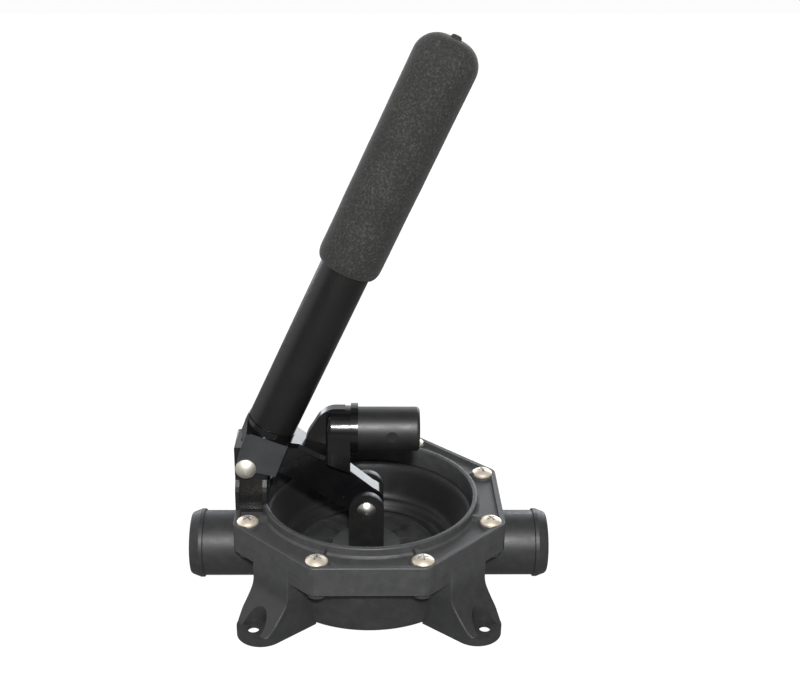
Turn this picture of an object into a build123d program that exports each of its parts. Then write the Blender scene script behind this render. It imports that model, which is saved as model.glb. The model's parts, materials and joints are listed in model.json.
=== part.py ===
from build123d import *
import os
from math import asin, atan2, cos, hypot, radians, sin

# Manual diaphragm bilge pump, in millimetres.
# Origin: centre of the round body on the deck plane. +X runs out of the discharge port,
# +Z is up, and the lever swings in the XZ plane.

# ---------------------------------------------------------------- driving dimensions
seam_z = 43.5              # where the clamp ring meets the body

# hose ports
port_z = 20.5
port_r = 19.0
port_bore_r = 16.0
port_end_x = 104.3
barb_crest_r = 20.0
barb_tip_r = 18.2
barb_land = 2.0
barb_len = 8.0

# body
bowl_r = 62.5
bowl_bottom_z = 1.5
bowl_inner_r = 59.5
bowl_floor_z = 4.2
flange_apothem = 73.8
flange_z = 35.0
recess_r = 69.3            # seat for the rim of the diaphragm
recess_floor_z = 41.5

# legs, one on each diagonal
leg_half_w = 16.0          # at the bowl; the leg narrows to its round toe
leg_inner_rho = 58.0
leg_top_rho = 76.4
toe_centre_rho = 83.7
toe_r = 14.0
toe_t = 5.0
hole_rho = hypot(63.5, 63.5)
foot_hole_r = 3.2
foot_pocket_r = 7.4
foot_pocket_h = 26.0
leg_chamfer = 0.6
foot_hollow = (78.0, 94.0)  # hollow under the toe, from and to, along the diagonal
foot_hollow_half = 10.0
foot_hollow_h = 3.3
tab_half = 23.7            # the body's flange shows beside each leg, in a gap of the skirt
tab_z = 42.0

# clamp ring
ring_apothem = 76.4
corner_r = 5.0
skirt_t = 2.4
lip_w = 3.0
lip_z = 52.0
tray_z = 49.7              # floor of the shallow trough around the rim
rim_outer_r = 63.0
rim_inner_r = 60.0
rim_z = 55.6
rim_foot = 1.2             # sloped foot around the outside of the rim
web_w = 2.4
web_z = 53.6
screw_circle_r = 74.0
screw_count = 8
screw_start = 22.5
web_circle_r = (rim_outer_r + screw_circle_r) / 2   # middle of the web between rim and boss
screw_seat_z = 51.2
screw_r = 2.0
screw_head_r = 6.0
screw_head_h = 3.4
screw_rim_h = 0.9
recess_len = 6.0
recess_w = 1.5
recess_depth = 2.0
screw_tip_z = 33.5
ring_boss_r = 7.0
body_boss_r = 5.3
body_boss_z = 31.0

# lever bracket on the ring
pivot = (-69.8, 78.2)      # x, z of the lever pivot
bracket_x = (-76.4, -58.5)
bracket_top_z = 89.5
bracket_half_y = 11.7
bracket_foot_y = 15.8
bracket_slot_half = 3.35
bracket_slot_z = 58.0
bracket_panel_z = 46.5     # height at which the bracket's profiles start, inside the ring
bracket_wall = 3.2
bracket_corner = 0.8
bracket_rib = 2.4
bracket_rib_z = (59.5, 63.0, 69.0)
bracket_ledge_z = (52.6, 56.0)
pin_r = 4.0
fit_gap = 0.02             # radial gap of a pin that is pressed or held in its hole

# lever
clevis_pin = (-1.8, 50.8)
arm_len = hypot(clevis_pin[0] - pivot[0], clevis_pin[1] - pivot[1])
arm_drop = atan2(pivot[1] - clevis_pin[1], clevis_pin[0] - pivot[0])
web_half = 3.0
arm_half = 5.0
thick_web_x = 18.0         # beyond here the web is as thick as the arm
cheek_in = 12.0
cheek_out = 15.5
cheek_x = (-7.1, 17.0)
cheek_corner = 2.4
flange_top = 21.6          # height of the lever's flange above the pivot line
flange_t = 3.0
flange_end = 40.0
post_x = (-24.8, -11.1)
post_bottom_z = (79.6, 74.1)
end_wall_x = -9.4          # outermost line of the end wall, in the middle
end_wall_inner_x = -4.0
end_wall_low = 14.6
gable_top = 25.5
post_round = 3.0
socket_z = 95.75           # axis of the spare, level socket
socket_r = 12.6
socket_root_r = 13.2
mark_r = 3.3               # round moulding marks
mark_depth = 0.25
collar_r = 14.6
socket_collar_x = (-10.9, -6.8)
socket_end_x = 28.2
clevis_boss_r = 10.0
clevis_pin_r = 3.5
pivot_head_r = 5.8
pivot_head_h = 3.0
clevis_head_r = 5.5
clevis_head_h = 2.8
head_rim_h = 0.7
pin_tail = 2.6             # how far a pin runs past the ear or cheek behind
groove_depth = 0.7

# handle
handle_tilt = radians(24.5)
handle_point = (-49.1, 113.6)   # a point on the handle's axis
tube_r = 14.0
tube_bore_r = 12.7
collar_len = 4.2
stub_len = 38.0
tube_len = 226.0
tube_start = collar_len + 0.1   # lower end of the tube, above the lever's flange
grip_r = 17.7
grip_start = 101.2         # from the lower end of the tube
grip_end = 234.6
grip_top_round = 13.0
grip_low_round = 3.5
nub_r = 3.0
nub_h = 1.9
cap_depth = 14.0
cap_t = 1.6

# plates and diaphragm
plate_r = 41.0
plate_z = 15.0
plate_t = 1.8
hub_r = 20.0
hub_z = 20.0
ear_in = 10.8
ear_out = 15.5
ear_half_x = 10.0
lower_plate_r = 38.0
lower_plate_z = (10.0, 13.0)
rubber_z = (13.05, 14.95)  # flat middle of the diaphragm
rubber_hole_r = 5.4
rubber_rim_r = 69.0
bolt_r = 3.0
bolt_head_z = (5.6, 8.8)
bolt_tip_z = 22.0
washer_t = 1.2
rib_count = 12
rib_half = 0.9
rim_rib = 1.2              # how far the plate's ribs and edge stand up

# check valves
seat_x = 70.0              # face that each flap closes on
seat_t = 3.0
seat_bore_r = 10.0
flap_r = 13.2
flap_t = 1.85
flap_gap = 0.12
flap_pin_r = 0.9
flap_knuckle_r = 1.6
weight_r = 9.0
weight_t = 1.3
flap_pin_out = 1.8         # from the seat face to the flap pin
flap_pin_up = 13.1         # from the port axis to the flap pin
flap_lugs_y = (4.0, 6.5)

running = 0.06             # radial clearance of each turning fit

os.makedirs("parts", exist_ok=True)


# ---------------------------------------------------------------- shared helpers
def octagon(apothem, corner, mode=Mode.ADD):
    """A regular octagon with flats on the four axes, and rounded corners."""
    with BuildSketch(mode=Mode.PRIVATE) as outline:
        RegularPolygon(apothem, 8, major_radius=False, rotation=22.5)
        fillet(outline.vertices(), corner)
    add(outline.sketch, mode=mode)


def bolt_circle():
    return PolarLocations(screw_circle_r, screw_count, start_angle=screw_start)


def across(y):
    """A plane facing the front, at a distance y in front of the middle."""
    return Plane.XZ.offset(y)


def along_y(x, z):
    """A plane facing the front whose origin is the axis of a cross pin."""
    return Plane(origin=(x, 0, z), x_dir=(1, 0, 0), z_dir=(0, -1, 0))


# plane of the lever: +X along its arm, +Y square to its flange, facing the front
lever_plane = Plane(
    origin=(pivot[0], 0, pivot[1]),
    x_dir=(cos(arm_drop), 0, -sin(arm_drop)),
    z_dir=(0, -1, 0),
)
lever_top = Plane(origin=lever_plane.origin, x_dir=lever_plane.x_dir, z_dir=lever_plane.y_dir)
lever_end = Plane(origin=lever_plane.origin, x_dir=(0, 1, 0), z_dir=lever_plane.x_dir)
axis_dir = Vector(sin(handle_tilt), 0, cos(handle_tilt))
flange_normal = lever_plane.y_dir
point_on_axis = Vector(handle_point[0], 0, handle_point[1])
to_flange = flange_top - (point_on_axis - lever_plane.origin).dot(flange_normal)
socket_foot = point_on_axis + axis_dir * (to_flange / axis_dir.dot(flange_normal))


def handle_plane(distance):
    """A plane square to the handle, that far up its axis from the lever's flange."""
    return Plane(origin=socket_foot + axis_dir * distance, x_dir=(0, 1, 0), z_dir=axis_dir)


def dome_arc(radius, low, high):
    """Half of a spherical cap's outline, from its rim up to its top on the axis."""
    rise = high - low
    ball_r = (radius ** 2 + rise ** 2) / (2 * rise)
    half = asin(radius / ball_r) / 2
    return (radius, low), (ball_r * sin(half), high - ball_r + ball_r * cos(half)), (0, high)


# ---------------------------------------------------------------- pump body
with BuildPart() as leg:
    with BuildSketch(Plane.XZ):
        with BuildLine():
            Polyline(
                (leg_top_rho, tab_z), (leg_inner_rho, tab_z), (leg_inner_rho, 0), (98.5, 0),
                (98.5, toe_t - 0.8), (97.7, toe_t), (92, toe_t),
            )
            Spline(
                (92, toe_t), (86.5, 10.7), (83.6, 14.2), (80.8, 17.7), (77.9, 22.7), (77.4, 32.8),
                (leg_top_rho, tab_z), tangents=((-1, 0.5), (-0.1, 1)),
            )
        make_face()
    extrude(amount=leg_half_w, both=True)
    with BuildSketch(Plane.XY):
        with Locations((toe_centre_rho, 0)):
            Circle(toe_r)
        Polygon(
            (leg_inner_rho, -leg_half_w), (toe_centre_rho, -toe_r), (toe_centre_rho, toe_r),
            (leg_inner_rho, leg_half_w), align=None,
        )
    extrude(amount=seam_z, mode=Mode.INTERSECT)
    front_edges = leg.edges().filter_by(GeomType.BSPLINE)
    chamfer(front_edges.filter_by(lambda edge: abs(edge.center().Y) > 14), leg_chamfer)
    with BuildSketch(Plane.XY.offset(toe_t)):
        with Locations((hole_rho, 0)):
            Circle(foot_pocket_r)
        with Locations((hole_rho + foot_pocket_r, 0)):
            Rectangle(2 * foot_pocket_r, 2 * foot_pocket_r)
    extrude(amount=foot_pocket_h, mode=Mode.SUBTRACT)
    with BuildSketch(Plane.XY):
        with Locations((hole_rho, 0)):
            Circle(foot_hole_r)
    extrude(amount=toe_t, mode=Mode.SUBTRACT)
    with BuildSketch(Plane.XY):
        with Locations(((foot_hollow[0] + foot_hollow[1]) / 2, 0)):
            RectangleRounded(foot_hollow[1] - foot_hollow[0], 2 * foot_hollow_half, 3.0)
    extrude(amount=foot_hollow_h, mode=Mode.SUBTRACT)

with BuildPart() as pump_body:
    with BuildSketch(Plane.XY.offset(bowl_bottom_z)):
        Circle(bowl_r)
    extrude(amount=seam_z - bowl_bottom_z)
    fillet(pump_body.edges().group_by(Axis.Z)[0], 3.0)
    with BuildSketch(Plane.XY.offset(flange_z)):
        octagon(flange_apothem, corner_r - 0.5)
    extrude(amount=seam_z - flange_z)
    with BuildSketch(Plane.XY.offset(body_boss_z)):
        with bolt_circle():
            Circle(body_boss_r)
    extrude(amount=flange_z - body_boss_z)
    with BuildSketch(Plane.XY.offset(flange_z)):
        with PolarLocations(ring_apothem - 5, 4, start_angle=45):
            Rectangle(10, 2 * tab_half)
    extrude(amount=tab_z - flange_z)
    for angle in (45, 135, 225, 315):
        add(leg.part, rotation=(0, 0, angle))
    with BuildSketch(Plane.XZ):
        Polygon(
            (bowl_inner_r, port_z), (bowl_inner_r, port_z + port_r),
            (port_end_x - barb_len, port_z + port_r),
            (port_end_x - barb_len + 0.4, port_z + barb_crest_r),
            (port_end_x - barb_len + 0.4 + barb_land, port_z + barb_crest_r),
            (port_end_x - 0.8, port_z + barb_tip_r), (port_end_x, port_z + barb_tip_r - 0.8),
            (port_end_x, port_z), align=None,
        )
    revolve(axis=Axis((0, 0, port_z), (1, 0, 0)))
    mirror(about=Plane.YZ)
    with BuildSketch(Plane.XY.offset(bowl_floor_z)):
        Circle(bowl_inner_r)
    extrude(amount=seam_z - bowl_floor_z, mode=Mode.SUBTRACT)
    with BuildSketch(Plane.XY.offset(recess_floor_z)):
        Circle(recess_r)
    extrude(amount=seam_z - recess_floor_z, mode=Mode.SUBTRACT)
    for side in (-1, 1):
        with BuildSketch(Plane.YZ.offset(side * port_end_x)):
            with Locations((0, port_z)):
                Circle(port_bore_r)
        extrude(amount=-side * (port_end_x - 50), mode=Mode.SUBTRACT)
    with BuildSketch(Plane.XY.offset(seam_z)):
        with bolt_circle():
            Circle(screw_r + 0.05)
    extrude(amount=-(seam_z - screw_tip_z + 0.5), mode=Mode.SUBTRACT)
pump_body.part.label = "pump_body"


# ---------------------------------------------------------------- clamp ring and lever bracket
with BuildPart() as clamp_ring:
    with BuildSketch(Plane.XY.offset(flange_z)):
        octagon(ring_apothem, corner_r)
    extrude(amount=lip_z - flange_z)
    chamfer(clamp_ring.edges().group_by(Axis.Z)[-1], 0.5)
    with BuildSketch(Plane.XY.offset(flange_z)):
        octagon(ring_apothem - skirt_t, corner_r - 1)
    extrude(amount=seam_z - flange_z, mode=Mode.SUBTRACT)
    with BuildSketch(Plane.XY.offset(tray_z)):
        octagon(ring_apothem - lip_w, corner_r - 2)
    extrude(amount=lip_z - tray_z, mode=Mode.SUBTRACT)
    with BuildSketch(Plane.XY.offset(tray_z)):
        with bolt_circle():
            Circle(ring_boss_r)
        with PolarLocations(web_circle_r, screw_count, start_angle=screw_start):
            Rectangle(screw_circle_r - rim_outer_r + 2, web_w)
        octagon(ring_apothem - 1, corner_r - 1, mode=Mode.INTERSECT)
    extrude(amount=screw_seat_z - tray_z)
    with BuildSketch(Plane.XY.offset(flange_z)):
        Circle(rim_inner_r)
    extrude(amount=rim_z - flange_z, mode=Mode.SUBTRACT)
    with BuildSketch(Plane.XY.offset(seam_z)):
        Circle(rim_outer_r)
        Circle(rim_inner_r, mode=Mode.SUBTRACT)
    extrude(amount=rim_z - seam_z)
    fillet(clamp_ring.faces().sort_by(Axis.Z)[-1].edges(), 1.2)
    # bracket: one block, slotted for the lever's web, with ribbed feet front and back
    with BuildSketch(Plane.XZ):
        with BuildLine():
            FilletPolyline(
                (bracket_x[0], bracket_panel_z), (bracket_x[0], bracket_top_z),
                (bracket_x[1], bracket_top_z), (bracket_x[1], bracket_panel_z), radius=bracket_corner,
            )
            Line((bracket_x[1], bracket_panel_z), (bracket_x[0], bracket_panel_z))
        make_face()
    extrude(amount=bracket_half_y, both=True)
    low, shoulder, top = bracket_rib_z
    rib_profile = (
        (0, bracket_panel_z), (bracket_foot_y, bracket_panel_z), (bracket_foot_y, low),
        (bracket_foot_y - 0.4, shoulder), (bracket_foot_y - 1.5, shoulder + 2.7),
        (bracket_half_y, top), (0, top),
    )
    low, top = bracket_ledge_z
    ledge_profile = (
        (0, bracket_panel_z), (bracket_foot_y, bracket_panel_z), (bracket_foot_y, low),
        (bracket_foot_y - 0.7, top - 1.4), (bracket_foot_y - 2.1, top - 0.4), (bracket_half_y, top),
        (0, top),
    )
    for start, width, profile in (
        (bracket_x[0], bracket_rib, rib_profile),
        (bracket_x[1] - bracket_rib, bracket_rib, rib_profile),
        (bracket_x[0], bracket_x[1] - bracket_x[0], ledge_profile),
    ):
        for side in (-1, 1):
            with BuildSketch(Plane.YZ.offset(start)):
                Polygon([(side * y, z) for y, z in profile], align=None)
            extrude(amount=width)
    slot_x = bracket_x[0] + bracket_wall
    with BuildSketch(Plane.XZ):
        with Locations((slot_x, bracket_slot_z)):
            Rectangle(40, 60, align=(Align.MIN, Align.MIN))
    extrude(amount=bracket_slot_half, both=True, mode=Mode.SUBTRACT)
    with BuildSketch(along_y(*pivot)):
        Circle(pin_r + running)
    extrude(amount=30, both=True, mode=Mode.SUBTRACT)
    with BuildSketch(Plane.XY.offset(screw_seat_z)):
        with PolarLocations(web_circle_r - 2, screw_count, start_angle=screw_start):
            Rectangle(screw_circle_r - rim_outer_r - 4, web_w)
    extrude(amount=web_z - screw_seat_z)
    with BuildSketch(Plane.XZ):
        Polygon(
            (rim_outer_r - 1, tray_z), (rim_outer_r + rim_foot, tray_z),
            (rim_outer_r, tray_z + rim_foot), (rim_outer_r - 1, tray_z + rim_foot), align=None,
        )
    revolve(axis=Axis.Z)
    # clear the bracket out of the opening, then screw holes, and skirt gaps for legs and ports
    with BuildSketch(Plane.XY.offset(flange_z)):
        Circle(rim_inner_r)
    extrude(amount=rim_z - flange_z, mode=Mode.SUBTRACT)
    with BuildSketch(Plane.XY.offset(screw_seat_z)):
        with bolt_circle():
            Circle(screw_head_r + 0.3)
    extrude(amount=3, mode=Mode.SUBTRACT)
    with BuildSketch(Plane.XY.offset(seam_z)):
        with bolt_circle():
            Circle(screw_r + 0.3)
    extrude(amount=screw_seat_z - seam_z, mode=Mode.SUBTRACT)
    with BuildSketch(Plane.XY.offset(flange_z)):
        with PolarLocations(ring_apothem, 4, start_angle=45):
            Rectangle(12, 2 * tab_half + 0.3)
    extrude(amount=tab_z + 0.15 - flange_z, mode=Mode.SUBTRACT)
    for side in (-1, 1):
        with BuildSketch(Plane.YZ.offset(side * 70)):
            with Locations((0, port_z)):
                Circle(port_r + 0.4)
        extrude(amount=side * 10, mode=Mode.SUBTRACT)
clamp_ring.part.label = "clamp_ring"


def raised_screw():
    """One cross-recess screw with a low domed head, standing on its seat at the origin."""
    with BuildPart() as screw:
        with BuildSketch(Plane.XZ):
            with BuildLine():
                Line((0, screw_head_h), (0, screw_tip_z - screw_seat_z))
                Line((0, screw_tip_z - screw_seat_z), (screw_r, screw_tip_z - screw_seat_z))
                Line((screw_r, screw_tip_z - screw_seat_z), (screw_r, 0))
                Line((screw_r, 0), (screw_head_r, 0))
                Line((screw_head_r, 0), (screw_head_r, screw_rim_h))
                ThreePointArc(*dome_arc(screw_head_r, screw_rim_h, screw_head_h))
            make_face()
        revolve(axis=Axis.Z)
        with BuildSketch(Plane.XY.offset(screw_head_h)):
            Rectangle(recess_len, recess_w)
            Rectangle(recess_w, recess_len)
        extrude(amount=-recess_depth, taper=12, mode=Mode.SUBTRACT)
    return screw.part


screw = raised_screw()
with BuildPart() as ring_screws:
    for index in range(screw_count):
        angle = screw_start + index * 360 / screw_count
        turn = Rotation(0, 0, 29.0 * index + 12)
        x = screw_circle_r * cos(radians(angle))
        y = screw_circle_r * sin(radians(angle))
        add(Pos(x, y, screw_seat_z) * turn * screw)
ring_screws.part.label = "ring_screws"


# ---------------------------------------------------------------- check valves in the ports
def valve_parts(face_x):
    """Seat, flap, weight and pin of one check valve that opens towards +X."""
    pin_plane = along_y(face_x + flap_pin_out, port_z + flap_pin_up)
    with BuildPart() as seat:
        with BuildSketch(Plane.YZ.offset(face_x - seat_t)):
            with Locations((0, port_z)):
                Circle(port_bore_r - 0.05)
                Circle(seat_bore_r, mode=Mode.SUBTRACT)
        extrude(amount=seat_t)
        with BuildSketch(Plane.YZ.offset(face_x)):
            for side in (-1, 1):
                with Locations((side * sum(flap_lugs_y) / 2, port_z + 13.2)):
                    Rectangle(flap_lugs_y[1] - flap_lugs_y[0], 2.5)
        extrude(amount=flap_pin_out + 1.5)
        with BuildSketch(pin_plane):
            Circle(flap_pin_r + fit_gap)
        extrude(amount=20, both=True, mode=Mode.SUBTRACT)
    with BuildPart() as flap:
        with BuildSketch(Plane.YZ.offset(face_x + flap_gap)):
            with Locations((0, port_z)):
                Circle(flap_r)
            with Locations((0, port_z + 10.7)):
                Rectangle(40, 10, align=(Align.CENTER, Align.MIN), mode=Mode.SUBTRACT)
            with Locations((0, port_z + 9)):
                Rectangle(7.2, 4.6, align=(Align.CENTER, Align.MIN))
        extrude(amount=flap_t)
        with BuildSketch(pin_plane):
            Circle(flap_knuckle_r)
        extrude(amount=3.6, both=True)
        with BuildSketch(pin_plane):
            Circle(flap_pin_r + running)
        extrude(amount=5, both=True, mode=Mode.SUBTRACT)
    weight_x = face_x + flap_gap + flap_t
    with BuildPart() as weight:
        with BuildSketch(Plane.YZ.offset(weight_x)):
            with Locations((0, port_z - 0.8)):
                Circle(weight_r)
        extrude(amount=weight_t)
        chamfer(weight.edges().group_by(Axis.X)[-1], 0.3)
    with BuildPart() as pin:
        with BuildSketch(pin_plane):
            Circle(flap_pin_r)
        extrude(amount=flap_lugs_y[1], both=True)
    return seat.part, flap.part, weight.part, pin.part


for port, face_x in (("inlet", -seat_x), ("outlet", seat_x)):
    for name, piece in zip(("valve_seat", "flap", "flap_weight", "flap_pin"), valve_parts(face_x)):
        piece.label = f"{port}_{name}"
        export_step(piece, f"parts/{piece.label}.step")


# ---------------------------------------------------------------- lever
with BuildPart() as post:
    with BuildSketch(Plane.XZ):
        Polygon(
            (post_x[0], socket_z), (post_x[0], post_bottom_z[0]), (post_x[1], post_bottom_z[1]),
            (post_x[1], socket_z), align=None,
        )
    extrude(amount=socket_root_r, both=True)
    fillet(post.edges().filter_by(Axis.Z).group_by(Axis.X)[0], post_round)

# end wall of the lever: a gable that rises to the top of the handle's collar
with BuildPart() as end_wall:
    with BuildSketch(lever_top.offset(end_wall_low)):
        Polygon(
            (end_wall_inner_x, -cheek_out), (cheek_x[0], -cheek_out), (end_wall_x, 0),
            (cheek_x[0], cheek_out), (end_wall_inner_x, cheek_out), align=None,
        )
    extrude(amount=gable_top - end_wall_low)
    with BuildSketch(lever_end.offset(end_wall_x - 1)):
        Polygon(
            (-cheek_out, end_wall_low), (cheek_out, end_wall_low), (cheek_out, flange_top - 1.2),
            (cheek_out - 2.4, flange_top + 0.2), (0, gable_top), (2.4 - cheek_out, flange_top + 0.2),
            (-cheek_out, flange_top - 1.2), align=None,
        )
    extrude(amount=20, mode=Mode.INTERSECT)

with BuildPart() as lever:
    # web from the flange down to the clevis boss, thicker beyond the bracket
    for half, inner_x in ((web_half, -20), (arm_half, thick_web_x)):
        with BuildSketch(lever_plane):
            Polygon(
                (-6, 20), (-6, 15.2), (1, 14.2), (4, 9.4), (9, 6.5), (13, 0.5), (26, -1.5),
                (arm_len - 3, -clevis_boss_r + 0.5), (arm_len, 0), (arm_len + 5.4, 8.3),
                (56.1, 15.6), (54, 20), align=None,
            )
            with Locations((inner_x, 0)):
                Rectangle(120, 60, align=(Align.MIN, Align.CENTER), mode=Mode.INTERSECT)
        extrude(amount=half, both=True)
    with BuildSketch(lever_plane):
        with Locations((arm_len, 0)):
            Circle(clevis_boss_r)
    extrude(amount=arm_half, both=True)
    # flange under the handle and out to the post, waisted between them
    with BuildSketch(lever_top.offset(flange_top - flange_t)):
        Polygon(
            (cheek_x[0], -cheek_out), (cheek_x[1], -cheek_out), (cheek_x[1], -10), (23.5, -7),
            (37, -10.2), (flange_end, -10.2), (flange_end, 10.2), (37, 10.2), (26.8, 9.8),
            (cheek_x[1], cheek_out), (cheek_x[0], cheek_out), align=None,
        )
    extrude(amount=flange_t)
    end_edge = lever.edges().filter_by(Axis.Y).filter_by_position(Axis.Z, pivot[1] + 20, 120)
    chamfer(end_edge.sort_by(Axis.X)[0], cheek_corner)
    add(end_wall.part)
    # two cheeks outside the bracket
    for side in (-1, 1):
        with BuildSketch(lever_plane.offset(side * cheek_in)):
            with BuildLine():
                Polyline(
                    (-6, 0), (cheek_x[0] + 0.2, 8), (cheek_x[0], flange_top - cheek_corner),
                    (cheek_x[0] + cheek_corner, flange_top), (cheek_x[1] - cheek_corner, flange_top),
                )
                RadiusArc(
                    (cheek_x[1] - cheek_corner, flange_top), (cheek_x[1], flange_top - cheek_corner),
                    cheek_corner,
                )
                Polyline(
                    (cheek_x[1], flange_top - cheek_corner), (cheek_x[1] + 0.2, 1.2), (13, 0.8),
                    (7.2, -0.2), (6, 0),
                )
                ThreePointArc((-6, 0), (0, -6), (6, 0))
            make_face()
        extrude(amount=side * (cheek_out - cheek_in))
    # post and level socket
    add(post.part)
    with BuildSketch(Plane.XZ):
        with BuildLine():
            Polyline(
                (socket_end_x, socket_z + socket_r - 2), (socket_end_x, socket_z),
                (post_x[0], socket_z), (post_x[0], socket_z + socket_root_r - post_round),
            )
            RadiusArc(
                (post_x[0], socket_z + socket_root_r - post_round),
                (post_x[0] + post_round, socket_z + socket_root_r), post_round,
            )
            Polyline(
                (post_x[0] + post_round, socket_z + socket_root_r),
                (socket_collar_x[0], socket_z + socket_root_r),
                (socket_collar_x[0], socket_z + collar_r), (socket_collar_x[1], socket_z + collar_r),
                (socket_collar_x[1], socket_z + socket_r), (socket_end_x - 2, socket_z + socket_r),
            )
            RadiusArc(
                (socket_end_x - 2, socket_z + socket_r), (socket_end_x, socket_z + socket_r - 2), 2,
            )
        make_face()
    revolve(axis=Axis((0, 0, socket_z), (1, 0, 0)))
    # thin gusset between the flange and the level socket
    with BuildSketch(Plane.XZ):
        with BuildLine():
            Spline(
                (-37, 86.5), (-36.6, 89.4), (-34.9, 94.6), (-32.0, 99.3), (-28.5, 104.9),
                (-24.0, 108.4), (-18.9, 109.5),
            )
            Polyline((-18.9, 109.5), (-14, 109.5), (-14, 80), (-37, 86.5))
        make_face()
    extrude(amount=web_half, both=True)
    # socket for the handle
    with BuildSketch(handle_plane(-1.5)):
        Circle(collar_r)
    extrude(amount=collar_len + 1.5)
    with BuildSketch(handle_plane(collar_len)):
        Circle(socket_r)
    extrude(amount=stub_len)
    fillet(lever.edges().filter_by(GeomType.CIRCLE).sort_by(Axis.Z)[-1], 2.0)
    # holes for the two pins
    with BuildSketch(along_y(*pivot)):
        Circle(pin_r + fit_gap)
    extrude(amount=30, both=True, mode=Mode.SUBTRACT)
    with BuildSketch(along_y(*clevis_pin)):
        Circle(clevis_pin_r + running)
    extrude(amount=30, both=True, mode=Mode.SUBTRACT)
    # shallow round marks, as a mould leaves
    for x, z, depth in ((-42, 78.5, arm_half), (-15, 57, arm_half), (12.4, 96.3, socket_r - 0.3)):
        with BuildSketch(across(depth - mark_depth)):
            with Locations((x, z)):
                Circle(mark_r)
        extrude(amount=3, mode=Mode.SUBTRACT)
lever.part.label = "lever"


# ---------------------------------------------------------------- cross pins and their clips
def headed_pin(centre, radius, head_r, head_h, outer_y):
    """A pin along Y with a domed head in front and a clip groove behind."""
    base = outer_y + fit_gap
    side_plane = Plane(origin=(centre[0], 0, centre[1]), x_dir=(0, -1, 0), z_dir=(0, 0, 1))
    with BuildPart() as pin:
        with BuildSketch(along_y(*centre).offset(-outer_y - pin_tail)):
            Circle(radius)
        extrude(amount=outer_y + pin_tail + base)
        with BuildSketch(side_plane):
            with BuildLine():
                Line((base, 0), (base, head_r))
                Line((base, head_r), (base + head_rim_h, head_r))
                ThreePointArc(
                    *[(z, r) for r, z in dome_arc(head_r, base + head_rim_h, base + head_h)]
                )
                Line((base + head_h, 0), (base, 0))
            make_face()
        revolve(axis=Axis((centre[0], 0, centre[1]), (0, 1, 0)))
        with BuildSketch(along_y(*centre).offset(-outer_y - 1.3)):
            Circle(radius + 1)
            Circle(radius - groove_depth, mode=Mode.SUBTRACT)
        extrude(amount=1.1, mode=Mode.SUBTRACT)
    return pin.part


def clip(centre, radius, outer_y):
    """A snap ring in the pin's groove, open on one side."""
    with BuildPart() as ring:
        with BuildSketch(along_y(*centre).offset(-outer_y - 1.2)):
            Circle(radius + 2.2)
            Circle(radius - groove_depth + 0.05, mode=Mode.SUBTRACT)
            with Locations((0, -radius - 1)):
                Rectangle(2 * radius - 2.2, 2 * radius, mode=Mode.SUBTRACT)
        extrude(amount=0.9)
    return ring.part


pivot_pin = headed_pin(pivot, pin_r, pivot_head_r, pivot_head_h, cheek_out)
pivot_pin.label = "pivot_pin"
pivot_clip = clip(pivot, pin_r, cheek_out)
pivot_clip.label = "pivot_clip"
clevis_bolt = headed_pin(clevis_pin, clevis_pin_r, clevis_head_r, clevis_head_h, ear_out)
clevis_bolt.label = "clevis_pin"
clevis_clip = clip(clevis_pin, clevis_pin_r, ear_out)
clevis_clip.label = "clevis_clip"


# ---------------------------------------------------------------- diaphragm and its plates
centre_x = clevis_pin[0]
with BuildPart() as clevis_plate:
    with BuildSketch(Plane.XY.offset(plate_z)):
        with Locations((centre_x, 0)):
            Circle(plate_r)
    extrude(amount=plate_t)
    with BuildSketch(Plane.XY.offset(plate_z)):
        with Locations((centre_x, 0)):
            Circle(plate_r)
            Circle(plate_r - 2.2, mode=Mode.SUBTRACT)
    extrude(amount=plate_t + rim_rib)
    with BuildSketch(Plane.XY.offset(plate_z)):
        with Locations((centre_x, 0)):
            Circle(hub_r)
    extrude(amount=hub_z - plate_z)
    for index in range(rib_count):
        angle = radians((index + 0.5) * 360 / rib_count)
        rib_plane = Plane(
            origin=(centre_x, 0, 0), x_dir=(cos(angle), sin(angle), 0),
            z_dir=(sin(angle), -cos(angle), 0),
        )
        with BuildSketch(rib_plane):
            Polygon(
                (hub_r - 1, plate_z), (plate_r - 1, plate_z),
                (plate_r - 1, plate_z + plate_t + rim_rib), (hub_r - 1, hub_z), align=None,
            )
        extrude(amount=rib_half, both=True)
    for side in (-1, 1):
        with BuildSketch(across(side * ear_in)):
            with BuildLine():
                Polyline(
                    (centre_x - ear_half_x, clevis_pin[1]), (centre_x - ear_half_x, plate_z + 1),
                    (centre_x + ear_half_x, plate_z + 1), (centre_x + ear_half_x, clevis_pin[1]),
                )
                ThreePointArc(
                    (centre_x - ear_half_x, clevis_pin[1]), (centre_x, clevis_pin[1] + ear_half_x),
                    (centre_x + ear_half_x, clevis_pin[1]),
                )
            make_face()
        extrude(amount=side * (ear_out - ear_in))
    with BuildSketch(Plane.XY.offset(plate_z)):
        with Locations((centre_x, 0)):
            Rectangle(2 * ear_half_x, 2 * ear_in + 1)
    extrude(amount=9)
    with BuildSketch(along_y(*clevis_pin)):
        Circle(clevis_pin_r + fit_gap)
    extrude(amount=30, both=True, mode=Mode.SUBTRACT)
    with BuildSketch(Plane.XY.offset(plate_z)):
        with Locations((centre_x, 0)):
            Circle(bolt_r + 0.05)
    extrude(amount=bolt_tip_z + 0.5 - plate_z, mode=Mode.SUBTRACT)
clevis_plate.part.label = "clevis_plate"

with BuildPart() as lower_plate:
    with BuildSketch(Plane.XY.offset(lower_plate_z[0])):
        with Locations((centre_x, 0)):
            Circle(lower_plate_r)
            Circle(bolt_r + 0.2, mode=Mode.SUBTRACT)
    extrude(amount=lower_plate_z[1] - lower_plate_z[0])
    fillet(lower_plate.edges().filter_by(lambda edge: edge.length > 6 * lower_plate_r), 1.2)
lower_plate.part.label = "lower_plate"

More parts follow.
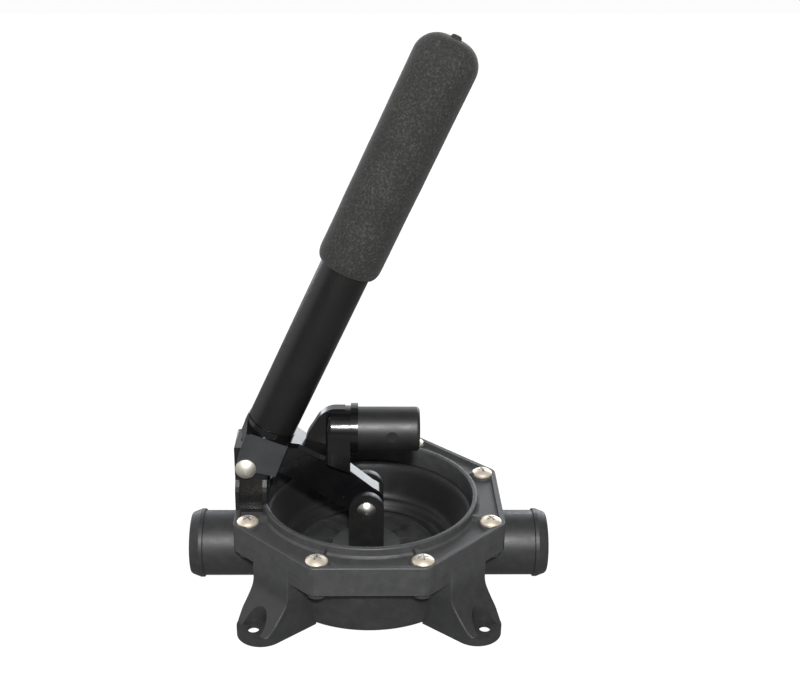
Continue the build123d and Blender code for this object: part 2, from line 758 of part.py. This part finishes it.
with BuildPart() as plate_washer:
    with BuildSketch(Plane.XY.offset(lower_plate_z[0] - washer_t)):
        with Locations((centre_x, 0)):
            Circle(8)
            Circle(bolt_r + 0.2, mode=Mode.SUBTRACT)
    extrude(amount=washer_t)
plate_washer.part.label = "plate_washer"

with BuildPart() as plate_bolt:
    with BuildSketch(Plane.XY.offset(bolt_head_z[0])):
        with Locations((centre_x, 0)):
            RegularPolygon(5.0, 6, major_radius=False)
    extrude(amount=bolt_head_z[1] - bolt_head_z[0])
    with BuildSketch(Plane.XY.offset(bolt_head_z[1])):
        with Locations((centre_x, 0)):
            Circle(bolt_r)
    extrude(amount=bolt_tip_z - bolt_head_z[1])
plate_bolt.part.label = "plate_bolt"

with BuildPart() as diaphragm:
    with BuildSketch(Plane.XZ):
        with BuildLine():
            Polyline((rubber_hole_r, rubber_z[1]), (44.6, rubber_z[1]))
            Spline(
                (44.6, rubber_z[1]), (47.4, 17.4), (49.3, 20.2), (51.2, 21.5), (53.4, 26.5), (58.2, 42.4),
                tangents=((1, 0), (0.35, 1)),
            )
            Polyline(
                (58.2, 42.4), (58.6, seam_z - 0.05), (rubber_rim_r, seam_z - 0.05),
                (rubber_rim_r, recess_floor_z + 0.05), (59.2, recess_floor_z + 0.05),
            )
            Spline(
                (59.2, recess_floor_z + 0.05), (55.0, 25.8), (52.6, 19.8), (50.6, 18.3),
                (48.9, 15.6), (45.4, rubber_z[0]), tangents=((-0.35, -1), (-1, 0)),
            )
            Polyline(
                (45.4, rubber_z[0]), (rubber_hole_r, rubber_z[0]), (rubber_hole_r, rubber_z[1])
            )
        make_face()
    revolve(axis=Axis.Z)
diaphragm.part.label = "diaphragm"


# ---------------------------------------------------------------- handle
with BuildPart() as handle_tube:
    with BuildSketch(handle_plane(tube_start)):
        Circle(tube_r)
        Circle(tube_bore_r, mode=Mode.SUBTRACT)
    extrude(amount=tube_len)
handle_tube.part.label = "handle_tube"

with BuildPart() as tube_cap:
    with BuildSketch(handle_plane(tube_start + tube_len - cap_depth)):
        Circle(tube_bore_r - 0.05)
    extrude(amount=cap_depth)
    with BuildSketch(handle_plane(tube_start + tube_len)):
        Circle(tube_r)
    extrude(amount=cap_t)
tube_cap.part.label = "tube_cap"

grip_side = Plane(
    origin=socket_foot + axis_dir * tube_start,
    x_dir=(cos(handle_tilt), 0, -sin(handle_tilt)),
    z_dir=(0, -1, 0),
)
grip_in_r = tube_r + 0.03
grip_inner_end = tube_len + cap_t + 0.1
with BuildPart() as handle_grip:
    with BuildSketch(grip_side):
        with BuildLine():
            Line((grip_in_r, grip_start), (grip_r - grip_low_round, grip_start))
            Spline(
                (grip_r - grip_low_round, grip_start), (grip_r, grip_start + 2 * grip_low_round),
                tangents=((1, 0), (0, 1)),
            )
            Line((grip_r, grip_start + 2 * grip_low_round), (grip_r, grip_end - grip_top_round))
            RadiusArc(
                (grip_r, grip_end - grip_top_round), (grip_r - grip_top_round, grip_end),
                -grip_top_round,
            )
            Polyline(
                (grip_r - grip_top_round, grip_end), (nub_r, grip_end), (nub_r - 0.6, grip_end + nub_h),
                (0, grip_end + nub_h), (0, grip_inner_end), (grip_in_r, grip_inner_end),
                (grip_in_r, grip_start),
            )
        make_face()
    revolve(axis=Axis(socket_foot, axis_dir))
handle_grip.part.label = "handle_grip"


# ---------------------------------------------------------------- one file per piece
built = [
    pump_body, clamp_ring, ring_screws, lever, clevis_plate, lower_plate, plate_washer,
    plate_bolt, diaphragm, handle_tube, tube_cap, handle_grip,
]
pieces = [builder.part for builder in built] + [pivot_pin, pivot_clip, clevis_bolt, clevis_clip]
for piece in pieces:
    export_step(piece, f"parts/{piece.label}.step")
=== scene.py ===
import json
from math import cos, hypot, pi, radians, sin

import bmesh
import bpy
from mathutils import Matrix, Vector, noise


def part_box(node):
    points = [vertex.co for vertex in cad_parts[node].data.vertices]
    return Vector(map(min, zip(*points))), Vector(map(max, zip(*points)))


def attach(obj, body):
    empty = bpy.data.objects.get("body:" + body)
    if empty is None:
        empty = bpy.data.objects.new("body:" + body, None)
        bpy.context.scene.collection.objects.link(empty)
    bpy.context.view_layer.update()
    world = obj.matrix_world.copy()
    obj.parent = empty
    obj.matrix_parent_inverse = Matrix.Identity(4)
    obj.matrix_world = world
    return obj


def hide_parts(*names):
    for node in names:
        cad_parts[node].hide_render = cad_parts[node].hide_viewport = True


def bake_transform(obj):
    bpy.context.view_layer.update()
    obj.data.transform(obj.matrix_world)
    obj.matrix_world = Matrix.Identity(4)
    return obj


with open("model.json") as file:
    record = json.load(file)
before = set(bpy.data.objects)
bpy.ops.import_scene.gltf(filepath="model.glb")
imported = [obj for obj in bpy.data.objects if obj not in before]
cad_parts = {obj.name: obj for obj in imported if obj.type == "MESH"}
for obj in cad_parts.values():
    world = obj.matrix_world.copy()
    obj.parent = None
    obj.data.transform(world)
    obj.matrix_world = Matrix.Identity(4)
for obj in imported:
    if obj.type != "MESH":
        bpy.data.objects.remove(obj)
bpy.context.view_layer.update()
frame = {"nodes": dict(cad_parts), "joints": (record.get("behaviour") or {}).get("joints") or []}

scene = bpy.context.scene
joints = {joint["name"]: joint for joint in frame["joints"]}


# ---------------------------------------------------------------- camera, floor and light
def make_camera():
    """The photograph's view: from the front, a little above, with a slight turn and roll."""
    data = bpy.data.cameras.new("camera")
    data.sensor_width = 36.0
    data.lens = 53.377
    data.clip_start = 0.01
    camera = bpy.data.objects.new("camera", data)
    scene.collection.objects.link(camera)
    turn, tilt, roll = radians(1.774), radians(22.403), radians(0.884)
    camera.matrix_world = (
        Matrix.Translation((-0.00243, -0.60638, 0.39960))
        @ Matrix.Rotation(-turn, 4, "Z")
        @ Matrix.Rotation(pi / 2 - tilt, 4, "X")
        @ Matrix.Rotation(roll, 4, "Z")
    )
    scene.camera = camera


def area_light(name, place, size, power, colour):
    """A rectangular light that faces the middle of the pump."""
    data = bpy.data.lights.new(name, "AREA")
    data.shape = "RECTANGLE"
    data.size, data.size_y = size
    data.energy = power
    data.color = colour
    light = bpy.data.objects.new(name, data)
    scene.collection.objects.link(light)
    light.location = place
    aim = Vector((0, 0, 0.06)) - Vector(place)
    light.rotation_euler = aim.to_track_quat("-Z", "Y").to_euler()


def by_view(tree, socket, to_others, to_camera):
    """Gives the floor or the room one strength for camera rays, and another for all other rays."""
    seen = tree.nodes.new("ShaderNodeLightPath").outputs["Is Camera Ray"]
    strength = tree.nodes.new("ShaderNodeMapRange")
    strength.inputs["To Min"].default_value = to_others
    strength.inputs["To Max"].default_value = to_camera
    tree.links.new(seen, strength.inputs["Value"])
    tree.links.new(strength.outputs["Result"], socket)


def make_studio():
    """A floor and room that are white to the camera and dimmer to the pump, and soft lights."""
    mesh = bpy.data.meshes.new("floor")
    half, drop = 6.0, 0.0002
    corners = [(-half, -half, 0), (half, -half, 0), (half, half, 0), (-half, half, 0)]
    mesh.from_pydata(corners, [], [(0, 1, 2, 3)])
    floor = bpy.data.objects.new("floor", mesh)
    scene.collection.objects.link(floor)
    floor.location.z = -drop
    material = bpy.data.materials.new("floor_white")
    material.use_nodes = True
    shader = material.node_tree.nodes["Principled BSDF"]
    shader.inputs["Base Color"].default_value = (0.12, 0.12, 0.12, 1)
    shader.inputs["Roughness"].default_value = 0.9
    shader.inputs["Specular IOR Level"].default_value = 0.0
    shader.inputs["Emission Color"].default_value = (1, 1, 1, 1)
    by_view(material.node_tree, shader.inputs["Emission Strength"], 0.14, 0.95)
    mesh.materials.append(material)

    world = bpy.data.worlds.new("white_room")
    world.use_nodes = True
    background = world.node_tree.nodes["Background"]
    background.inputs["Color"].default_value = (1, 1, 1, 1)
    by_view(world.node_tree, background.inputs["Strength"], 0.2, 1.0)
    scene.world = world

    white, cool = (1, 1, 1), (0.93, 0.96, 1)
    for name, place, size, power, colour in (
        ("key", (0.028, -1.13, 0.88), (0.09, 0.09), 24.0, white),
        ("front", (0.0, -1.1, 0.95), (0.9, 1.4), 2.0, white),
        ("back", (0.53, 1.38, 0.58), (0.7, 0.45), 4.5, cool),
        ("low_right", (0.80, 1.49, 0.22), (0.9, 0.36), 3.5, cool),
        ("low_left", (-0.80, 1.49, 0.24), (0.9, 0.40), 3.5, cool),
        ("back_wall", (-0.2, 2.2, 1.0), (5.0, 2.2), 40.0, cool),
        ("left_wall", (-2.0, 0.3, 0.7), (2.0, 1.5), 9.0, white),
    ):
        area_light(name, place, size, power, colour)
    scene.view_settings.view_transform = "Standard"


# ---------------------------------------------------------------- materials
class Shade:
    """A node material under construction, with short ways to add and join nodes."""

    def __init__(self, name, roughness, **sockets):
        self.material = bpy.data.materials.new(name)
        self.material.use_nodes = True
        self.tree = self.material.node_tree
        self.shader = self.tree.nodes["Principled BSDF"]
        self.shader.inputs["Roughness"].default_value = roughness
        for socket, value in sockets.items():
            self.shader.inputs[socket.replace("_", " ")].default_value = value
        self.place = self.tree.nodes.new("ShaderNodeTexCoord").outputs["Object"]

    def node(self, kind, inputs=None, **settings):
        made = self.tree.nodes.new(kind)
        for name, value in settings.items():
            setattr(made, name, value)
        for socket, value in (inputs or {}).items():
            if isinstance(value, bpy.types.NodeSocket):
                self.tree.links.new(value, made.inputs[socket])
            else:
                made.inputs[socket].default_value = value
        return made

    def noise(self, size, detail=2.0, roughness=0.5, place=None):
        """Noise with features of that size in metres, from 0 to 1."""
        made = self.node(
            "ShaderNodeTexNoise",
            {"Vector": place or self.place, "Scale": 1 / size, "Detail": detail, "Roughness": roughness},
        )
        return made.outputs["Fac"]

    def cells(self, size, place=None):
        made = self.node("ShaderNodeTexVoronoi", {"Vector": place or self.place, "Scale": 1 / size})
        return made.outputs["Distance"]

    def span(self, value, low, high, to_low, to_high):
        made = self.node(
            "ShaderNodeMapRange",
            {"Value": value, "From Min": low, "From Max": high, "To Min": to_low, "To Max": to_high},
        )
        return made.outputs["Result"]

    def math(self, operation, first, second):
        return self.node("ShaderNodeMath", {0: first, 1: second}, operation=operation).outputs[0]

    def colours(self, factor, *stops):
        """A colour ramp: each stop is a place from 0 to 1 and a colour."""
        made = self.node("ShaderNodeValToRGB", {"Fac": factor})
        ramp = made.color_ramp
        while len(ramp.elements) < len(stops):
            ramp.elements.new(0.5)
        for element, (where, colour) in zip(ramp.elements, stops):
            element.position = where
            element.color = (*colour, 1)
        return made.outputs["Color"]

    def mix(self, factor, first, second):
        made = self.node("ShaderNodeMix", data_type="FLOAT")
        for socket, value in zip((0, 2, 3), (factor, first, second)):
            self.tree.links.new(value, made.inputs[socket])
        return made.outputs[0]

    def mix_colours(self, factor, first, second):
        made = self.node("ShaderNodeMix", data_type="RGBA")
        for socket, value in zip((0, 6, 7), (factor, first, second)):
            self.tree.links.new(value, made.inputs[socket])
        return made.outputs[2]

    def axes(self):
        """The place's X, Y and Z, each as a socket."""
        return self.node("ShaderNodeSeparateXYZ", {"Vector": self.place}).outputs

    def finish(self, colour, roughness, normal):
        """Joins the ends to the shader; with no roughness, the constant one stays."""
        for socket, value in (("Base Color", colour), ("Roughness", roughness), ("Normal", normal)):
            if value is not None:
                self.tree.links.new(value, self.shader.inputs[socket])
        return self.material

    def bump(self, height, depth, strength=1.0, below=None):
        inputs = {"Height": height, "Distance": depth, "Strength": strength}
        if below is not None:
            inputs["Normal"] = below
        return self.node("ShaderNodeBump", inputs).outputs["Normal"]


def tinted(colour, factor):
    return tuple(channel * factor for channel in colour)


def plastic(name, colour, roughness, glossy=None, pale=None):
    """Moulded plastic: a fine grain, slow changes in sheen and tone, a glossy black part, or a paler part
    that is painted light.
    """
    shade = Shade(name, roughness, Specular_IOR_Level=0.42)
    slow = shade.noise(0.006, 6, 0.7)
    fine = shade.noise(0.0006, 2)
    tone = shade.colours(slow, (0.3, tinted(colour, 0.8)), (0.7, tinted(colour, 1.2)))
    mixed = shade.math("ADD", shade.math("MULTIPLY", slow, 0.6), shade.math("MULTIPLY", fine, 0.4))
    rough = shade.span(mixed, 0.35, 0.65, roughness - 0.09, roughness + 0.09)
    if pale:
        # painted light: a tone 1.3 to 1.95 times paler, mixed in by the pale part's mask
        painted_light_tone = shade.colours(slow, (0.3, tinted(colour, 1.3)), (0.7, tinted(colour, 1.95)))
        tone = shade.mix_colours(pale(shade), tone, painted_light_tone)
    if glossy:
        upper = glossy(shade)
        rough = shade.mix(upper, rough, shade.span(mixed, 0.3, 0.7, 0.22, 0.32))
        black = shade.colours(slow, (0.3, tinted(colour, 0.16)), (0.7, tinted(colour, 0.24)))
        tone = shade.mix_colours(upper, tone, black)
    return shade.finish(tone, rough, shade.bump(fine, 0.00005, 0.6))


def bracket_part(shade):
    """One on the lever bracket: above the ring's rim, and on the bracket's foot in the trough."""
    axes = shade.axes()
    over_rim, over_trough, foot_x, foot_half = 0.0565, 0.0502, -0.0575, 0.0163
    high = shade.span(axes["Z"], over_rim, over_rim + 0.0015, 0.0, 1.0)
    left = shade.math("LESS_THAN", axes["X"], foot_x)
    middle = shade.math("LESS_THAN", shade.math("ABSOLUTE", axes["Y"], 0.0), foot_half)
    raised = shade.math("GREATER_THAN", axes["Z"], over_trough)
    foot = shade.math("MULTIPLY", shade.math("MULTIPLY", left, middle), raised)
    return shade.math("MAXIMUM", high, foot)


def painted_light_to_flange(shade):
    """Painted light: rises to one with height, from the legs to the body's flange, where the body is
    painted paler; the ports are left out.
    """
    axes = shade.axes()
    port_root_x, pale_from, pale_to = 0.0762, 0.020, 0.037
    middle = shade.math("LESS_THAN", shade.math("ABSOLUTE", axes["X"], 0.0), port_root_x)
    return shade.math("MULTIPLY", middle, shade.span(axes["Z"], pale_from, pale_to, 0.0, 1.0))


def plate_plastic(name, colour, roughness):
    """Satin plastic, painted paler on the flat plate than on the ears above it: painted light."""
    shade = Shade(name, roughness)
    slow = shade.noise(0.008, 4, 0.6)
    fine = shade.noise(0.0006, 2)
    axes = shade.axes()
    plate_top, ears_from = 0.0212, 0.0245
    # painted light: below the plate's top, the tone is painted 2.2 to 4 times paler
    low = shade.span(axes["Z"], plate_top, ears_from, 1.0, 0.0)
    dark = shade.colours(slow, (0.3, tinted(colour, 0.8)), (0.7, tinted(colour, 1.25)))
    pale = shade.colours(slow, (0.3, tinted(colour, 2.2)), (0.7, tinted(colour, 4.0)))
    tone = shade.mix_colours(low, dark, pale)
    rough = shade.span(slow, 0.3, 0.7, roughness - 0.06, roughness + 0.06)
    return shade.finish(tone, rough, shade.bump(fine, 0.00003, 0.6))


def lever_plastic():
    """Glossy black plastic, matt and paler on the cheeks' outer faces, satin on the level socket."""
    shade = Shade("lever_plastic", 0.18)
    right_end, cheek_face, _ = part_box("lever")[1]
    socket_x, socket_low_z, blend = right_end - 0.035, 0.0825, 0.0001
    axes = shade.axes()
    across = shade.math("ABSOLUTE", axes["Y"], 0.0)
    matt = shade.span(across, cheek_face - 3 * blend, cheek_face - blend, 0.0, 1.0)
    right = shade.span(axes["X"], socket_x - blend, socket_x + blend, 0.0, 1.0)
    above = shade.span(axes["Z"], socket_low_z, socket_low_z + 2 * blend, 0.0, 1.0)
    barrel = shade.math("MULTIPLY", right, above)
    slow = shade.noise(0.012, 4, 0.6)
    fine = shade.noise(0.0005, 2)
    glossy = shade.span(slow, 0.3, 0.7, 0.12, 0.22)
    satin_level = shade.span(slow, 0.3, 0.7, 0.42, 0.54)
    grained = shade.span(slow, 0.3, 0.7, 0.5, 0.6)
    rough = shade.mix(matt, shade.mix(barrel, glossy, satin_level), grained)
    dark = shade.colours(slow, (0.3, (0.0035, 0.0035, 0.004)), (0.7, (0.0055, 0.0055, 0.006)))
    satin = shade.colours(slow, (0.3, (0.009, 0.009, 0.009)), (0.7, (0.014, 0.014, 0.0135)))
    pale = shade.colours(slow, (0.3, (0.022, 0.023, 0.025)), (0.7, (0.032, 0.033, 0.036)))
    smooth = shade.mix_colours(barrel, dark, satin)
    tone = shade.mix_colours(matt, smooth, pale)
    grain = shade.math("ADD", shade.span(matt, 0, 1, 0.1, 1.0), shade.span(barrel, 0, 1, 0.0, 0.5))
    height = shade.math("MULTIPLY", fine, grain)
    return shade.finish(tone, rough, shade.bump(height, 0.00004, 0.6))


def steel(name, colour, roughness, metal=1.0, recess=None):
    """Stainless steel with slow changes in tone, and painted shade in a recess: a mottled mid-grey."""
    shade = Shade(name, roughness, Metallic=metal)
    slow = shade.noise(0.006, 2)
    fine = shade.noise(0.0004, 2)
    tone = shade.colours(slow, (0.3, tinted(colour, 0.88)), (0.7, colour))
    if recess:
        # painted shade: the recess is painted a mottled near-black to white, mid-grey on the whole
        recess_shade_tone = shade.colours(slow, (0.0, (0.008, 0.007, 0.006)), (1.0, (1.0, 1.0, 1.0)))
        tone = shade.mix_colours(recess(shade), tone, recess_shade_tone)
    rough = shade.span(slow, 0.3, 0.7, roughness - 0.05, roughness + 0.06)
    return shade.finish(tone, rough, shade.bump(fine, 0.000002, 0.3))


def painted_recess_shade(shade):
    """Painted shade: one in the screws' recesses, near a screw's axis and below its dome."""
    dome_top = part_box("ring_screws")[1][2]
    circle_r, dome_r, recess_r, skin = 0.074, 0.00845, 0.0034, 0.00014
    step = 2 * pi / 8
    axes = shade.axes()
    flat = shade.node("ShaderNodeCombineXYZ", {"X": axes["X"], "Y": axes["Y"]}).outputs[0]
    reach = shade.node("ShaderNodeVectorMath", {0: flat}, operation="LENGTH").outputs["Value"]
    turn = shade.math("ARCTAN2", axes["Y"], axes["X"])
    within = shade.node("ShaderNodeMath", {0: turn, 1: step, 2: 0.0}, operation="WRAP").outputs[0]
    aside = shade.math("MULTIPLY", reach, shade.math("SUBTRACT", within, step / 2))
    outward = shade.math("SUBTRACT", reach, circle_r)
    square = shade.math("ADD", shade.math("POWER", aside, 2.0), shade.math("POWER", outward, 2.0))
    near = shade.math("LESS_THAN", square, recess_r ** 2)
    dome = shade.math("SUBTRACT", dome_top - skin, shade.math("DIVIDE", square, 2 * dome_r))
    deep = shade.math("LESS_THAN", axes["Z"], dome)
    return shade.math("MULTIPLY", near, deep)


def anodised():
    """Black anodised aluminium: satin, with faint streaks along Z, which the tube leans from."""
    shade = Shade("tube_anodised", 0.36, Metallic=0.1, Specular_IOR_Level=0.4)
    slow = shade.noise(0.02, 3)
    stretch = {"Vector": shade.place, "Scale": (1, 1, 0.04)}
    streaks = shade.node("ShaderNodeMapping", stretch).outputs[0]
    fine = shade.noise(0.0007, 2, place=streaks)
    dark, light = (0.0070, 0.0064, 0.0064), (0.0105, 0.0096, 0.0094)
    tone = shade.colours(slow, (0.3, dark), (0.7, light))
    rough = shade.span(fine, 0.3, 0.7, 0.30, 0.42)
    return shade.finish(tone, rough, shade.bump(fine, 0.000012, 0.4))


def foam():
    """Closed-cell foam: a mottled tone, and small cells with a finer grain in the bump."""
    shade = Shade("grip_foam", 0.85, Sheen_Weight=0.08, Sheen_Roughness=0.5)
    cells = shade.cells(0.0011)
    fine = shade.noise(0.0012, 3, 0.6)
    slow = shade.noise(0.02, 3)
    mixed = shade.math("ADD", shade.math("MULTIPLY", fine, 0.8), shade.math("MULTIPLY", slow, 0.2))
    dark, middle, light = (0.0078, 0.0084, 0.0073), (0.0182, 0.0193, 0.0170), (0.054, 0.057, 0.049)
    tone = shade.colours(mixed, (0.35, dark), (0.52, middle), (0.70, light))
    low = shade.bump(cells, 0.00012, 0.5)
    return shade.finish(tone, None, shade.bump(fine, 0.00015, 0.5, below=low))


def rubber(name, colour, roughness):
    """Moulded rubber: a dull sheen, with slow patches of tone and gloss."""
    shade = Shade(name, roughness, Sheen_Weight=0.03)
    slow = shade.noise(0.012, 4, 0.6)
    fine = shade.noise(0.0006, 2)
    tone = shade.colours(slow, (0.3, tinted(colour, 0.6)), (0.7, tinted(colour, 1.6)))
    rough = shade.span(slow, 0.3, 0.7, roughness + 0.10, roughness - 0.12)
    return shade.finish(tone, rough, shade.bump(fine, 0.00003, 0.5))


# ---------------------------------------------------------------- mesh helpers
def turned(name, profile, count, place=Matrix.Identity(4), wobble=None):
    """A turned piece from (radius, height) points; the profile is closed, or ends on the axis."""
    form = bmesh.new()
    rings = []
    for radius, height in profile:
        if radius < 1e-9:
            rings.append([form.verts.new((0, 0, height))])
            continue
        ring = []
        for index in range(count):
            angle = 2 * pi * index / count
            point = Vector((radius * cos(angle), radius * sin(angle), height))
            ring.append(form.verts.new(wobble(point) if wobble else point))
        rings.append(ring)
    closed = len(rings[0]) > 1 and len(rings[-1]) > 1
    pairs = list(zip(rings, rings[1:])) + ([(rings[-1], rings[0])] if closed else [])
    for low, high in pairs:
        for index in range(count):
            after = (index + 1) % count
            if len(low) == 1:
                form.faces.new((low[0], high[after], high[index]))
            elif len(high) == 1:
                form.faces.new((low[index], low[after], high[0]))
            else:
                form.faces.new((low[index], low[after], high[after], high[index]))
    bmesh.ops.recalc_face_normals(form, faces=form.faces)
    mesh = bpy.data.meshes.new(name)
    form.to_mesh(mesh)
    form.free()
    mesh.transform(place)
    mesh.shade_smooth()
    piece = bpy.data.objects.new(name, mesh)
    scene.collection.objects.link(piece)
    return piece


def smooth_line(points, steps):
    """Points on a smooth curve through those given, with even steps in each span."""
    ends = [points[0]] + list(points) + [points[-1]]
    line = []
    for before, start, end, after in zip(ends, ends[1:], ends[2:], ends[3:]):
        for step in range(steps):
            t = step / steps
            weights = (
                -0.5 * t + t ** 2 - 0.5 * t ** 3, 1 - 2.5 * t ** 2 + 1.5 * t ** 3,
                0.5 * t + 2 * t ** 2 - 1.5 * t ** 3, -0.5 * t ** 2 + 0.5 * t ** 3,
            )
            line.append(tuple(
                sum(weight * point[axis] for weight, point in zip(weights, (before, start, end, after)))
                for axis in (0, 1)
            ))
    return line + [points[-1]]


# ---------------------------------------------------------------- soft pieces
def make_diaphragm(material):
    """The rubber cup: a rim held under the ring, a steep wall, a rolled fold, and a flat middle."""
    low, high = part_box("diaphragm")
    rim = high[0] - 0.0004
    top = high[2] - 0.0001
    thick = 0.0017
    upper = [
        (0.0062, low[2] + 0.0018), (0.0415, low[2] + 0.0018), (0.0440, low[2] + 0.0021),
        (0.0464, low[2] + 0.0036), (0.0480, low[2] + 0.0062), (0.0495, low[2] + 0.0079),
        (0.0512, low[2] + 0.0088), (0.0528, low[2] + 0.0112), (0.0541, low[2] + 0.0160),
        (0.0560, top - 0.0060), (0.0572, top - 0.0024), (0.0586, top - 0.0004), (0.0600, top),
        (rim, top),
    ]
    line = smooth_line(upper, 5)
    under = []
    for (r0, z0), (r1, z1) in zip(line, line[1:]):
        run = hypot(r1 - r0, z1 - z0)
        middle = ((r0 + r1) / 2, (z0 + z1) / 2)
        under.append((middle[0] + thick * (z1 - z0) / run, middle[1] - thick * (r1 - r0) / run))
    piece = turned("diaphragm_cup", line + under[::-1], 144)
    piece.data.materials.append(material)
    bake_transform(piece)
    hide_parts("diaphragm")


def make_grip(material):
    """The foam sleeve: a long, slightly uneven tube, domed at the top, with a small nub."""
    axis = Vector(joints["handle_pull"]["axis"]).normalized()
    low, high = (Vector(corner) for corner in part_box("handle_tube"))
    centre = (low + high) / 2
    reach = [axis.dot(vertex.co - centre) for vertex in frame["nodes"]["handle_grip"].data.vertices]
    start, end = min(reach), max(reach)
    tube_top = max(axis.dot(vertex.co - centre) for vertex in frame["nodes"]["handle_tube"].data.vertices)
    inner = (high[1] - low[1]) / 2 + 0.00002
    outer = (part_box("handle_grip")[1][1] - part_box("handle_grip")[0][1]) / 2 - 0.00005
    nub, dome, low_in, low_up = 0.0019, 0.013, 0.0033, 0.0068
    shoulder = end - nub
    profile = [(inner, start), (inner + 0.0002, start)]
    for step in range(8):
        turn = pi / 2 * step / 7
        profile.append((outer - low_in * (1 - sin(turn)), start + low_up * (1 - cos(turn))))
    body_steps = 110
    straight = shoulder - dome - start - low_up
    for step in range(1, body_steps):
        profile.append((outer, start + low_up + straight * step / body_steps))
    for step in range(17):
        turn = pi / 2 * step / 16
        profile.append((outer - dome * (1 - cos(turn)), shoulder - dome * (1 - sin(turn))))
    profile += [
        (0.0036, shoulder), (0.0030, shoulder + 0.0003), (0.0028, shoulder + 0.0010),
        (0.0023, shoulder + nub - 0.0002), (0.0014, shoulder + nub), (0, shoulder + nub),
    ]
    floor_z = tube_top + 0.0018
    profile = [(0, floor_z), (inner, floor_z)] + profile

    def uneven(point):
        around = Vector((point.x, point.y, 0))
        if around.length < inner + 0.0001:
            return point
        swell = noise.noise(point * 55) * 0.00012 + noise.noise(point * 700) * 0.00007
        return point + around.normalized() * swell

    place = Matrix.Translation(centre) @ axis.to_track_quat("Z", "X").to_matrix().to_4x4()
    piece = turned("foam_grip", profile, 112, place, uneven)
    piece.data.materials.append(material)
    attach(piece, "handle")
    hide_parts("handle_grip")


# ---------------------------------------------------------------- CAD nodes: edges and finishes
def dress(node, material, edge):
    """Gives a CAD node its material, and rounds its sharp edges to that width, if there is one."""
    obj = frame["nodes"][node]
    for slot in obj.material_slots:
        slot.material = material
    if edge:
        weld = obj.modifiers.new("weld", "WELD")
        weld.merge_threshold = 1e-6
        flat = obj.modifiers.new("flat", "DECIMATE")
        flat.decimate_type = "DISSOLVE"
        flat.angle_limit = radians(0.6)
        bevel = obj.modifiers.new("edge", "BEVEL")
        bevel.width = edge
        bevel.segments = 2
        bevel.limit_method = "ANGLE"
        bevel.angle_limit = radians(28.0)
        bevel.use_clamp_overlap = True
        bevel.harden_normals = True


make_camera()
make_studio()

grey = (0.035, 0.0353, 0.0357)
# the body is painted paler towards its flange: painted light
housing = plastic("housing_plastic", tinted(grey, 0.76), 0.46, pale=painted_light_to_flange)
ring = plastic("housing_plastic_ring", tinted(grey, 1.35), 0.50, glossy=bracket_part)
satin = plate_plastic("plate_plastic", (0.0085, 0.009, 0.0085), 0.40)
bright = steel("stainless", (0.72, 0.67, 0.60), 0.33)
polished = steel("stainless_polished", (0.90, 0.87, 0.82), 0.30)
brushed = steel("stainless_brushed", (0.78, 0.75, 0.67), 0.55)
black_rubber = rubber("rubber", (0.0065, 0.0065, 0.007), 0.48)

finishes = {
    "pump_body": housing, "clamp_ring": ring, "lever": lever_plastic(),
    "clevis_plate": satin, "lower_plate": satin, "tube_cap": satin,
    "inlet_valve_seat": satin, "outlet_valve_seat": satin,
    "inlet_flap": black_rubber, "outlet_flap": black_rubber, "diaphragm": black_rubber,
    "handle_tube": anodised(), "handle_grip": foam(),
    # the screws' cross recesses get painted shade
    "ring_screws": steel("stainless_screws", (1.0, 0.88, 0.73), 0.45, 0.8, painted_recess_shade),
    "clevis_pin": polished, "pivot_pin": brushed,
}
edges = {"clamp_ring": 0.0004, "clevis_plate": 0.0004}
for node in frame["nodes"]:
    dress(node, finishes.get(node, bright), edges.get(node, 0.0))
make_diaphragm(black_rubber)
make_grip(finishes["handle_grip"])
